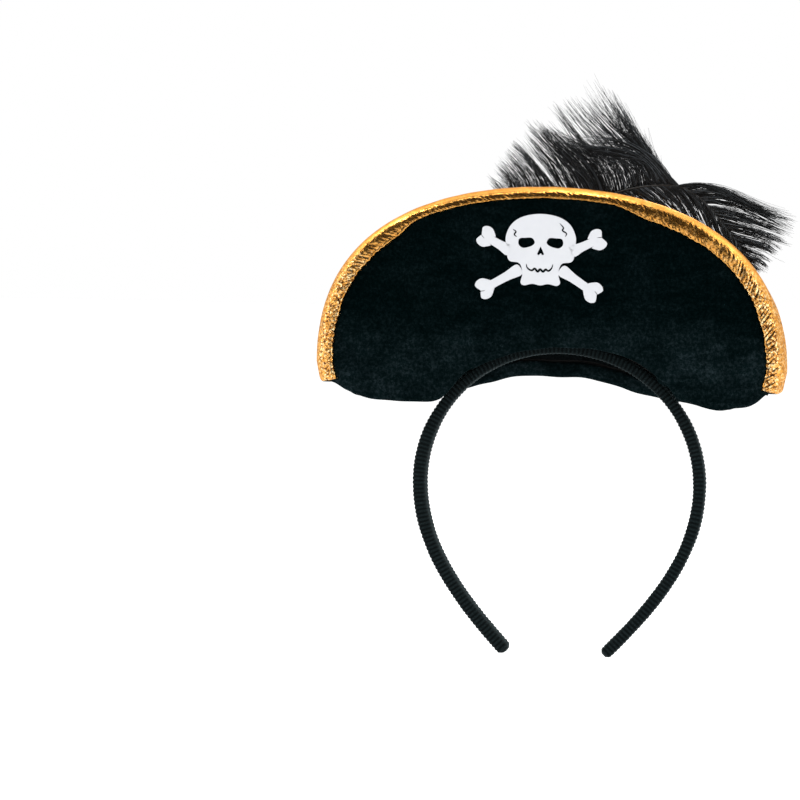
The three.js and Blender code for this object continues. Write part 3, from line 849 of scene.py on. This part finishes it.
vinyl_finish = Finish("white_vinyl", Specular_IOR_Level=0.3)
vinyl_cloud = vinyl_finish.noise(0.25, 3)
vinyl_finish.tint(vinyl_cloud, (0.575, 0.59, 0.622), (0.625, 0.637, 0.66))
vinyl_finish.drive("Roughness", 0.55 + 0.15 * vinyl_finish.noise(1.2))
vinyl_finish.bump(vinyl_finish.noise(2.2, 2) * 0.7 + vinyl_cloud * 0.3, 0.05)


def closed(points, count=6):
    """A smooth closed loop through points."""
    p = np.array(points, float)
    p = np.vstack([p[-1], p, p[0], p[1]])
    t = np.linspace(0, 1, count, endpoint=False)[:, None]
    return np.vstack([glide(t, *four) for four in zip(p, p[1:], p[2:], p[3:])])


def slit(points, width):
    """A thin cut that follows points and narrows to both ends."""
    p = spline(points, 5)
    along = np.gradient(p, axis=0)
    along /= np.linalg.norm(along, axis=1, keepdims=True)
    side = np.stack([-along[:, 1], along[:, 0]], 1)
    half = width / 2 * np.clip(np.sin(np.linspace(0.12, math.pi - 0.12, len(p))) ** 0.5, 0.2, 1)[:, None]
    return np.vstack([p + side * half, (p - side * half)[::-1]])


def inside(places, loop):
    """Which places lie within a closed loop."""
    x, y = places[:, 0], places[:, 1]
    hit = np.zeros(len(places), bool)
    for (x0, y0), (x1, y1) in zip(loop, np.roll(loop, -1, axis=0)):
        if y0 != y1:
            hit ^= ((y0 > y) != (y1 > y)) & (x < (x1 - x0) * (y - y0) / (y1 - y0) + x0)
    return hit


def vinyl_piece(name, node, outline, cuts):
    """Fills an outline less its cuts with triangles, lays it on the front velvet and gives it its thickness."""
    loops = [outline, *cuts]
    low, high = outline.min(0), outline.max(0)
    grid = np.meshgrid(*(np.arange(low[k], high[k], fill_step) for k in (0, 1)))
    fill = np.stack([values.ravel() for values in grid], 1)
    rims = np.vstack(loops)
    clear = np.array([np.hypot(*(rims - f).T).min() > 0.7 for f in fill])
    fill = fill[clear & inside(fill, outline)]
    edges, start = [], 0
    for loop in loops:
        edges += [(start + i, start + (i + 1) % len(loop)) for i in range(len(loop))]
        start += len(loop)
    spots = [Vector(p) for p in np.vstack([rims, fill])]
    flat, _, triangles, *_ = delaunay_2d_cdt(spots, edges, [], 0, 1e-5)
    flat = np.array([tuple(p) for p in flat])
    centres = np.array([flat[list(t)].mean(0) for t in triangles])
    keep = inside(centres, outline)
    for cut in cuts:
        keep &= ~inside(centres, cut)
    faces = [list(t) for t, k in zip(triangles, keep) if k]
    used = sorted({i for f in faces for i in f})
    order = {old: new for new, old in enumerate(used)}
    faces = [[order[i] for i in f] for f in faces]
    x, z = flat[used, 0] + emblem_x, flat[used, 1] + emblem_z
    y = -(half_gap(x, z) + velvet_out + vinyl_lift + vinyl)
    piece = new_mesh(name, np.stack([x, y, z], 1), faces, smooth=False)
    thicken(piece, vinyl)
    rim = piece.modifiers.new("rim", "BEVEL")
    rim.width = 0.14 * MM
    rim.segments = 2
    rim.limit_method = "ANGLE"
    rim.angle_limit = math.radians(50)
    apply_modifiers(piece)
    piece.data.materials.clear()
    fit(piece, vinyl_finish, "emblem_white", node)


skull_side = [
    (7.5, 18.0), (12.4, 14.8), (14.8, 9.9), (14.6, 5.6), (13.4, 3.2), (14.2, 1.3), (13.0, -0.8), (9.5, -1.4),
    (8.1, -3.2), (7.7, -6.4), (8.4, -9.7), (6.9, -10.9), (3.4, -10.2),
]
skull_outline = closed([(0, 19.2), *skull_side, (0, -10.8), *[(-x, z) for x, z in skull_side[::-1]]])
eye = [(2.5, 7.3), (3.7, 9.1), (6.5, 9.1), (9.1, 8.7), (9.5, 6.4), (7.9, 4.9), (5.6, 5.1), (3.4, 6.0)]
nose = [(0, 5.6), (0.8, 4.0), (1.5, 2.4), (1.0, 1.8), (0.3, 2.3), (0, 2.7)]
nose += [(-x, z) for x, z in nose[4:0:-1]]
grin = [(-6.0, -2.0), (-5.6, -3.5), (-3.8, -4.6), (-2.4, -3.8), (-1.2, -5.0), (-0.1, -4.1), (1.1, -5.0), (2.3, -4.1)]
grin += [(3.4, -4.7), (4.7, -3.6), (5.3, -1.9)]
skull_cuts = [
    closed(eye[::-1], 4),
    closed([(-x, z) for x, z in eye], 4),
    np.array(nose),
    slit(grin, 1.05),
    slit([(8.0, 15.4), (9.6, 13.6), (9.2, 12.4), (10.9, 11.2), (10.4, 9.8)], 0.7),
    slit([(-11.9, 12.6), (-10.6, 11.6), (-11.3, 10.4), (-10.2, 9.4)], 0.7),
]
vinyl_piece("skull_vinyl", "skull", skull_outline, skull_cuts)

# Each bone is a shaft that runs under the skull, with a two-lobed knob at its outer end.
bone_shapes = (
    ("upper_left", (-13.2, 3.6), (-25.6, 10.4)),
    ("upper_right", (13.2, 3.6), (26.2, 9.8)),
    ("lower_left", (-8.9, -4.2), (-26.0, -13.8)),
    ("lower_right", (8.9, -4.2), (24.4, -14.6)),
)
bone_side = [(0, 2.3), (0.3, 1.9), (0.62, 1.75), (0.78, 2.1), (0.86, 3.4), (0.95, 4.4), (1.08, 4.3), (1.17, 3.0)]
bone_side += [(1.14, 1.2)]
for word, root, knob in bone_shapes:
    root, knob = np.array(root), np.array(knob)
    along = knob - root
    length = np.linalg.norm(along)
    reach = length + 0.6
    ahead, aside = along / length, np.array([-along[1], along[0]]) / length
    stretch = [(t if t < 0.7 else (reach - (1.17 - t) * 17) / reach, w) for t, w in bone_side]
    shape = [*stretch, (stretch[-1][0] - 0.03, 0.0), *[(t, -w) for t, w in stretch[::-1]]]
    outline = closed([root + ahead * t * reach + aside * w for t, w in shape], 4)
    line = [knob - ahead * 2.2 + aside * 0.9, knob - ahead * 0.8 + aside * 0.4, knob + ahead * 0.6 - aside * 0.2]
    vinyl_piece(f"bone_vinyl_{word}", f"bone_{word}", outline, [slit(line, 0.3)])

# ---- Plume ----
# One black ostrich feather, bound to a thread-wrapped root behind the emblem. Its quill rises inside the hat, bends
# over the crest to the right and droops. The barbs are separate hairs that cling together in tapering locks.

plume_y = 1.5
quill_radius = 1.1
barb_steps = 15
barb_twist = 0.06
barb_tip_radius = 0.028
quill_places = [(-19.5, 22), (-7.5, 45), (8.5, 64), (28.5, 75), (50.5, 78), (61.5, 73.5), (70.5, 64.5)]
quill_places += [(78.5, 54.5), (84.5, 45)]
plume_from = np.array([hat_middle, hat_level])
quill_route = spline(quill_places, 30) + plume_from
quill_lengths = np.concatenate([[0], np.cumsum(np.hypot(*np.diff(quill_route, axis=0).T))])

feather_finish = Finish("black_feather", Specular_IOR_Level=0.35)
oily = feather_finish.noise(0.2, 3)
sheen_share = feather_finish.marked("strand_sheen")
hair_tone = feather_finish.mix(oily.between(0.35, 0.7), (0.0008, 0.0012, 0.0014), (0.0035, 0.0045, 0.0055))
# Some strands, picked at random, are painted a lighter grey: painted sheen on the hairs.
feather_finish.tint(sheen_share.between(0.6, 1.0), hair_tone, (0.07, 0.08, 0.09))
feather_finish.drive("Roughness", 0.42 + 0.25 * oily)
feather_finish.bump(feather_finish.noise(3.5, 2), 0.03)

quill_finish = Finish("quill_horn", Roughness=0.4)
horn = quill_finish.noise(0.7, 4, stretch=(1, 1, 0.3))
quill_finish.tint(horn, (0.006, 0.006, 0.006), (0.03, 0.027, 0.024))
quill_finish.bump(horn, 0.05)

thread_finish = Finish("wrap_thread", Roughness=0.7, Sheen_Weight=0.2)
thread_ply = thread_finish.noise(2.5, 2)
thread_finish.tint(thread_ply, (0.006, 0.006, 0.007), (0.03, 0.03, 0.032))
thread_finish.bump(thread_ply, 0.06)


def on_quill(share):
    """The place at a share of the quill's length."""
    s = np.asarray(share, float) * quill_lengths[-1]
    return np.stack([np.interp(s, quill_lengths, quill_route[:, k]) for k in (0, 1)], -1)


def strands(name, paths, radii, sides=3):
    """One object of many tapering hairs. paths is (hair, step, xyz) in millimetres, radii is (hair, step)."""
    count, steps, _ = paths.shape
    along = np.gradient(paths, axis=1)
    along /= np.linalg.norm(along, axis=2, keepdims=True) + 1e-9
    first = np.cross(along, [0.13, 1.0, 0.07])
    first /= np.linalg.norm(first, axis=2, keepdims=True) + 1e-9
    second = np.cross(along, first)
    turn = np.arange(sides) * 2 * math.pi / sides + math.pi / 2
    ring = first[:, :, None] * np.cos(turn)[:, None] + second[:, :, None] * np.sin(turn)[:, None]
    points = (paths[:, :, None] + ring * radii[:, :, None, None]).reshape(-1, 3)
    starts = np.arange(count) * steps * sides
    quads = (np.array(grid_faces(steps, sides, wrap_columns=True)) + starts[:, None, None]).reshape(-1, 4)
    low = starts[:, None] + np.arange(sides)[::-1]
    high = starts[:, None] + (steps - 1) * sides + np.arange(sides)
    made = new_mesh(name, points, [*quads.tolist(), *low.tolist(), *high.tolist()])
    # A random value per hair; the feather's material paints sheen on the hairs where it is high.
    mark(made, "strand_sheen", np.repeat(np.random.default_rng(count).uniform(0, 1, count), steps * sides))
    return made


def barb_paths(root, lead, tip, arrive, depth, draw, stray):
    """Curved hairs from root points, setting off at angle lead, to tip points, coming in at angle arrive."""
    length = np.linalg.norm(tip - root, axis=1, keepdims=True)
    set_off = np.stack([np.cos(lead), np.sin(lead)], 1) * length * 0.42
    come_in = np.stack([np.cos(arrive), np.sin(arrive)], 1) * length * 0.4
    t = np.linspace(0, 1, barb_steps)[None, :, None]
    flat = bend(t, *(p[:, None] for p in (root, root + set_off, tip - come_in, tip)))
    count = len(root)
    phase, wave = draw.uniform(0, 2 * math.pi, (count, 1)), draw.uniform(0.6, 1.6, (count, 1))
    sway = stray * t[..., 0] ** 1.5 * np.sin(phase + wave * 5 * t[..., 0])
    across = np.gradient(flat, axis=1)
    across /= np.linalg.norm(across, axis=2, keepdims=True) + 1e-9
    x = flat[..., 0] - across[..., 1] * sway
    z = flat[..., 1] + across[..., 0] * sway
    y = plume_y + (depth[:, None] - plume_y) * t[..., 0] ** 0.7 + 0.25 * np.sin(phase * 2 + 4 * t[..., 0])
    return np.stack([x, y, z], 2)


def lock_set(guides, locks, per_lock, spread, seed, radius, depths, short, stray=0.5):
    """Hairs in locks. Each guide row is quill share, leaving angle, tip x, tip z, arriving angle."""
    draw = np.random.default_rng(seed)
    rows = np.array(guides, float)
    place = np.linspace(0, len(rows) - 1, locks) + draw.normal(0, 0.22 * len(rows) / locks, locks)
    place = np.repeat(np.clip(place, 0, len(rows) - 1), per_lock)
    pick = [np.interp(place, np.arange(len(rows)), rows[:, k]) for k in range(5)]
    count = locks * per_lock
    gap = abs(rows[-1, 0] - rows[0, 0]) / locks
    within = np.tile(np.linspace(-0.5, 0.5, per_lock), locks)
    share = pick[0] + gap * within * np.sign(rows[-1, 0] - rows[0, 0] + 1e-9) * 1.15
    root = on_quill(np.clip(share, 0.02, 1))
    lock_tip = np.repeat(draw.normal(0, spread, (locks, 2)), per_lock, axis=0)
    tip = np.stack([pick[2] + 2.5, pick[3]], 1) + plume_from
    tip = tip + lock_tip * 0.8 + draw.normal(0, spread * 0.55, (count, 2))
    cut = 1 - np.repeat(draw.uniform(0, short * 0.8, locks), per_lock) - short * draw.uniform(0, 1, count) ** 2
    tip = root + (tip - root) * cut[:, None]
    depth = np.repeat(draw.uniform(*depths, locks), per_lock) + draw.normal(0, 0.3, count)
    lead = np.radians(pick[1]) + draw.normal(0, barb_twist, count)
    lock_arrive = np.repeat(draw.normal(0, barb_twist * 1.6, locks), per_lock)
    arrive = np.radians(pick[4]) + lock_arrive + draw.normal(0, barb_twist, count)
    paths = barb_paths(root, lead, tip, arrive, depth, draw, stray)
    taper = np.linspace(1, 0, paths.shape[1]) ** 0.5
    thick = radius * draw.uniform(0.7, 1.15, count)
    return paths, barb_tip_radius + thick[:, None] * taper


def feather_piece(name, *sets, nodes=()):
    """One piece from sets of locks."""
    paths, radii = (np.vstack(rows) for rows in zip(*sets))
    fit(strands(name, paths, radii), feather_finish, "feather", *nodes, body="plume")


# Rows are quill share, leaving angle, tip x, tip z, arriving angle, going up the quill.
left_fan = [
    (0.1, 146, -27, 75, 150), (0.14, 138, -29, 80, 148), (0.19, 130, -28, 86, 144), (0.25, 124, -25, 91, 142),
    (0.31, 118, -22, 97, 140), (0.37, 112, -16, 102, 136), (0.42, 108, -12, 106, 132), (0.46, 104, -6, 104, 138),
]
middle_fan = [
    (0.42, 104, -8, 97, 150), (0.47, 98, -3, 100, 150), (0.52, 93, 0, 98, 158), (0.57, 90, 3, 96, 162),
    (0.61, 90, 7, 95, 166), (0.64, 94, 11, 96, 168),
]
notch_bundle = [
    (0.62, 104, 2, 93, 196), (0.64, 112, 4, 96, 190), (0.655, 118, 7, 98, 186), (0.67, 124, 12, 100, 176),
]
tall_fan = [
    (0.44, 108, -5, 109, 130), (0.5, 100, -3, 115, 130), (0.55, 96, 3, 116, 126), (0.6, 98, 9, 118, 124),
    (0.64, 112, 13.5, 120, 116), (0.66, 124, 19, 120, 113), (0.67, 128, 23, 112, 108), (0.675, 130, 29, 104, 108),
    (0.68, 132, 33, 98, 112),
]
tip_fan = [
    (0.68, 10, 92, 68, -14), (0.7, 22, 100, 65, -8), (0.73, 12, 101, 63.5, -12), (0.77, 2, 100, 60, -16),
    (0.81, -8, 100.5, 57, -20), (0.85, -14, 98, 53, -24), (0.89, -20, 97, 49.5, -28), (0.93, -26, 94, 46.5, -34),
    (0.965, -40, 90, 43.5, -50), (0.995, -52, 86, 41.5, -62),
]
low_fan = [
    (0.46, -34, 40, 60, -62), (0.52, -36, 48, 58, -62), (0.58, -36, 56, 56, -62), (0.64, -38, 62, 54, -64),
    (0.7, -46, 68, 50, -66), (0.77, -62, 72, 47, -70), (0.85, -78, 76, 44, -76), (0.93, -84, 79, 42, -78),
    (0.99, -80, 82, 41, -76),
]
# The barbs are stout locks, and the down is fine loose hair among them.
feather_piece(
    "plume_barbs_upper",
    lock_set(left_fan, 34, 12, 1.4, 101, 0.165, (0.6, 2.4), 0.13),
    lock_set(middle_fan, 15, 6, 0.9, 102, 0.18, (-0.4, 1.0), 0.12, 0.3),
    lock_set(notch_bundle, 6, 9, 0.9, 103, 0.2, (-0.6, 0.8), 0.2),
    lock_set(tall_fan, 24, 7, 1.4, 104, 0.165, (2.0, 3.4), 0.14),
    nodes=["plume_upper_vane"],
)
feather_piece(
    "plume_down_upper",
    lock_set(left_fan, 60, 9, 2.6, 111, 0.055, (0.4, 2.6), 0.4, 0.9),
    lock_set(middle_fan, 30, 6, 2.0, 112, 0.05, (-0.4, 1.6), 0.3, 0.7),
    lock_set(tall_fan, 50, 8, 2.4, 114, 0.055, (1.6, 3.4), 0.4, 0.9),
)
feather_piece(
    "plume_barbs_tip",
    lock_set(tip_fan, 22, 11, 0.9, 121, 0.19, (0.2, 2.8), 0.2, 0.35),
    lock_set(tip_fan, 40, 8, 1.6, 122, 0.07, (0.0, 3.0), 0.35, 0.7),
    nodes=["plume_tip_vane"],
)
feather_piece(
    "plume_barbs_lower",
    lock_set(low_fan, 26, 10, 0.8, 131, 0.2, (0.2, 1.6), 0.12, 0.3),
    lock_set(low_fan, 32, 8, 1.2, 132, 0.13, (1.6, 3.2), 0.2, 0.5),
    nodes=["plume_lower_vane"],
)

share = np.linspace(0, 1, 90)
quill_line = np.insert(on_quill(share), 1, plume_y, axis=1)
quill_taper = quill_radius * np.interp(share, [0, 0.1, 0.35, 0.65, 1], [1.0, 1.0, 0.6, 0.35, 0.14])
quill = strands("plume_quill_shaft", quill_line[None], quill_taper[None], 12)
fit(quill, quill_finish, "quill", "plume_quill", body="plume")

# The root is bound with black thread, wound close in one layer and back over itself at the ends.
wrap_turns, wrap_reach, thread_radius = 15, 9.0, 0.3
wind = np.linspace(0, 1, wrap_turns * 14)
wind_place = np.stack([np.interp(wind * wrap_reach, quill_lengths, quill_route[:, k]) for k in (0, 1)], 1)
rise = quill_route[30] - quill_route[0]
rise /= np.linalg.norm(rise)
circle = wind * wrap_turns * 2 * math.pi
wind_radius = quill_radius + thread_radius + 0.1 + 0.12 * np.sin(wind * 9) ** 2
wind_points = np.stack(
    [
        wind_place[:, 0] - rise[1] * np.cos(circle) * wind_radius,
        plume_y + np.sin(circle) * wind_radius,
        wind_place[:, 1] + rise[0] * np.cos(circle) * wind_radius,
    ],
    1,
)
wrap = strands("plume_thread_wrap", wind_points[None], np.full((1, len(wind)), thread_radius), 8)
fit(wrap, thread_finish, "quill", "plume_wrap", body="plume")

# A pad of hot-melt glue holds the bound root against the inside of the front flap.
anchor_low, anchor_high = (np.array(corner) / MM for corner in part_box("plume_anchor"))
middle, half = (anchor_low + anchor_high) / 2, (anchor_high - anchor_low) / 2
pad_rows, pad_columns = 20, 32
pad_points = []
for up in np.linspace(-1, 1, pad_rows):
    for turn in np.linspace(0, 2 * math.pi, pad_columns, endpoint=False):
        ring = max(1 - abs(up) ** 3.2, 0.02) ** 0.5
        square = (abs(math.cos(turn)) ** 3 + abs(math.sin(turn)) ** 3) ** (-1 / 3)
        lump = 1 - 0.1 * (1 + wander(turn * 6.0, up * 5.0, 6.5, 91)) * ring
        a, b = math.cos(turn) * square * ring * lump, math.sin(turn) * square * ring * lump
        pad_points.append(middle + half * [a, up, b])
pad_faces = grid_faces(pad_rows, pad_columns, wrap_columns=True)
pad_faces.append(list(range(pad_columns))[::-1])
pad_faces.append(list(range((pad_rows - 1) * pad_columns, pad_rows * pad_columns)))
pad = new_mesh("plume_glue_pad", pad_points, pad_faces)
fit(pad, glue_finish, "glue", "plume_anchor")
